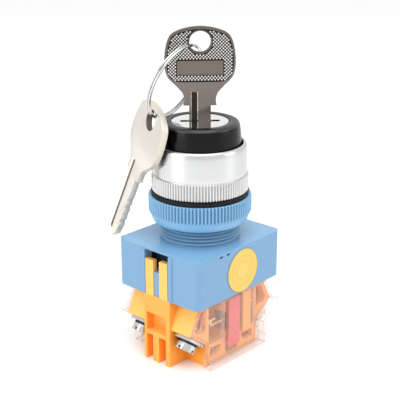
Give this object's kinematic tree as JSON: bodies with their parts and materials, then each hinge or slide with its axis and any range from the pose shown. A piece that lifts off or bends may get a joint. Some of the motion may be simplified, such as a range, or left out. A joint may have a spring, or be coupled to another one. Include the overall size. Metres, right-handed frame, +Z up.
{
  "type": "selector key switch",
  "caption": "Key-operated selector switch: round lock head on a threaded neck, ring nut, square base, clip-on clear-sided contact blocks, and a spare key on a split ring.",
  "frame": {"origin": "on the head's axis, on the plane that the contact blocks stand on", "axes": "+Z up the head's axis to the key's bow, +X along the base's longer side"},
  "size_m": [0.0392, 0.0411, 0.099],
  "materials": {
    "base_blue": "semi-gloss",
    "nut_blue": "semi-gloss",
    "gasket_black": "matte",
    "bezel_metal": "satin",
    "collar_black": "satin",
    "zinc": "cast",
    "brass": "plain",
    "plug_nickel": "plain",
    "face_polished": "polished",
    "mark_black": "matte",
    "spring_steel": "bright",
    "cam_white": "matte",
    "steel": "zinc plated",
    "label_yellow": "printed",
    "key_nickel": "nickel plated",
    "key_bright": "nickel plated",
    "ring_chrome": "polished",
    "block_orange": "translucent",
    "cover_clear": "clear plastic",
    "plunger_red": "semi-gloss",
    "plunger_green": "semi-gloss",
    "contact_brass": "plain",
    "contact_silver": "polished"
  },
  "bodies": {
    "frame": {"base_housing": "base_blue", "gasket": "gasket_black", "bezel": "bezel_metal", "lock_collar": "collar_black", "lock_shell": "zinc", "shell_ring": "brass", "detent_ball": "steel", "detent_spring": "spring_steel", "round_label": "label_yellow", "nc_housing": "block_orange", "no_housing": "block_orange", "nc_cover": "cover_clear", "no_cover": "cover_clear", "nc_return_spring": "spring_steel", "no_return_spring": "spring_steel", "nc_fixed_contacts": "contact_brass", "no_fixed_contacts": "contact_brass", "nc_fixed_tips": "contact_silver", "no_fixed_tips": "contact_silver", "clamp_plates": "steel", "spring_washers": "steel", "terminal_screws": "steel"},
    "rotor": {"rotor_plug": "plug_nickel", "face_disc": "face_polished", "indicator_marks": "mark_black", "wafer_springs": "spring_steel", "cam_drum": "cam_white", "cam_washer": "steel", "cam_screw": "steel"},
    "wafers": {"lock_wafers": "brass"},
    "key": {"inserted_key": "key_nickel"},
    "ring": {"key_ring": "ring_chrome"},
    "spare": {"spare_key": "key_bright"},
    "nc_slider": {"nc_plunger": "plunger_red", "nc_bridge": "contact_brass", "nc_bridge_tips": "contact_silver", "nc_contact_spring": "spring_steel"},
    "no_slider": {"no_plunger": "plunger_green", "no_bridge": "contact_brass", "no_bridge_tips": "contact_silver", "no_contact_spring": "spring_steel"},
    "nut": {"ring_nut": "nut_blue"}
  },
  "joints": [
    {"name": "key_turn", "type": "hinge", "parent": "frame", "child": "rotor", "pos_m": [0, 0, 0.07], "axis": [0, 0, -1], "range_deg": [0, 90]},
    {"name": "key_withdraw", "type": "slide", "parent": "rotor", "child": "key", "axis": [0, 0, 1], "range_m": [0, 0.0215]},
    {"name": "wafer_retract", "type": "slide", "parent": "rotor", "child": "wafers", "axis": [0.7071, -0.7071, 0], "range_m": [0, 0.0005]},
    {"name": "ring_swing", "type": "hinge", "parent": "key", "child": "ring", "pos_m": [0, 0, 0.0947], "axis": [0.7071, 0.7071, 0], "range_deg": [0, 70]},
    {"name": "spare_key_swing", "type": "hinge", "parent": "ring", "child": "spare", "pos_m": [-0.01172, 0.00713, 0.07374], "axis": [0.9909, 0.1349, 0], "range_deg": [0, 35]},
    {"name": "nc_push", "type": "slide", "parent": "frame", "child": "nc_slider", "axis": [0, 0, -1], "range_m": [0, 0.0022], "deforming": ["nc_return_spring"]},
    {"name": "no_push", "type": "slide", "parent": "frame", "child": "no_slider", "axis": [0, 0, -1], "range_m": [0, 0.0022], "deforming": ["no_return_spring"]},
    {"name": "nut_travel", "type": "slide", "parent": "frame", "child": "nut", "axis": [0, 0, -1], "range_m": [0, 0.0045]}
  ],
  "couplings": [
    {"joint": "wafer_retract", "follows": "key_withdraw", "ratio": 0.0232},
    {"joint": "nc_push", "follows": "key_turn", "m_per_rad": 0.0014},
    {"joint": "no_push", "follows": "key_turn", "m_per_rad": 0.0014}
  ]
}
